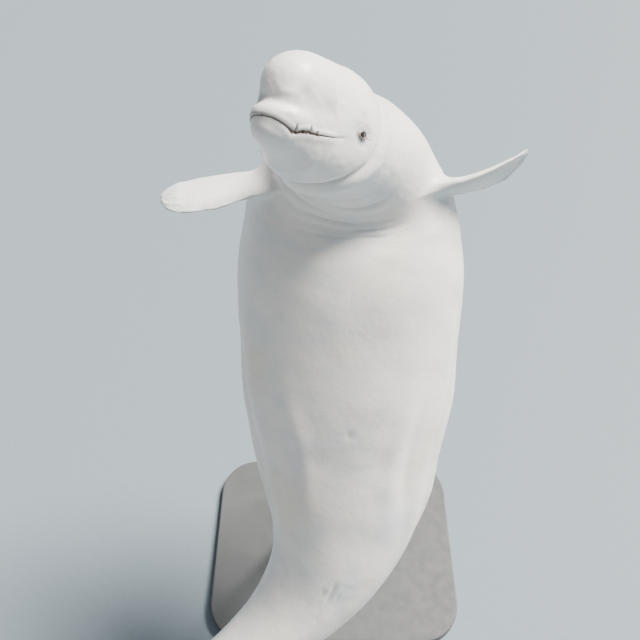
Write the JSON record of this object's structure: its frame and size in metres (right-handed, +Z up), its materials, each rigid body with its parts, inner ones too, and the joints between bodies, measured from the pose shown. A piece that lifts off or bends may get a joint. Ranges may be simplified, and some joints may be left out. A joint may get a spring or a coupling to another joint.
{
  "type": "beluga whale",
  "caption": "Life-size display model of an adult beluga whale standing upright in a spy-hop, head bent and turned, flippers out, tail curled aside, on a flat base with rods.",
  "frame": {"origin": "centre of the stand base's underside, on the floor, below the whale's centre of mass", "axes": "+Z up; -Y is the side the whale's belly faces, where the viewer stands; +X is the whale's left"},
  "size_m": [1.9837, 2.0428, 3.3548],
  "materials": {
    "skin": "smooth, slightly uneven creamy white whale skin with a faint satin sheen, greyer on the fin edges and in the folds",
    "eye": "dark brown, wet and glossy",
    "base_paint": "powder-coated, fine-grained matt dark grey",
    "rod_steel": "brushed round bar",
    "cup_rubber": "matt black rubber pad"
  },
  "bodies": {
    "root": {"head": "skin", "melon": "skin", "upper_jaw": "skin", "lower_jaw": "skin", "neck": "skin", "chest": "skin", "trunk": "skin", "loin": "skin", "dorsal_ridge": "skin", "tail_stock": "skin", "fluke_left": "skin", "fluke_right": "skin", "flipper_left": "skin", "flipper_right": "skin", "eye_left": "eye", "eye_right": "eye", "stand_base": "base_paint", "stand_collar_trunk": "base_paint", "stand_collar_tail": "base_paint", "stand_rod_trunk": "rod_steel", "stand_rod_tail": "rod_steel", "stand_cup_trunk": "cup_rubber", "stand_cup_tail": "cup_rubber"}
  },
  "joints": []
}
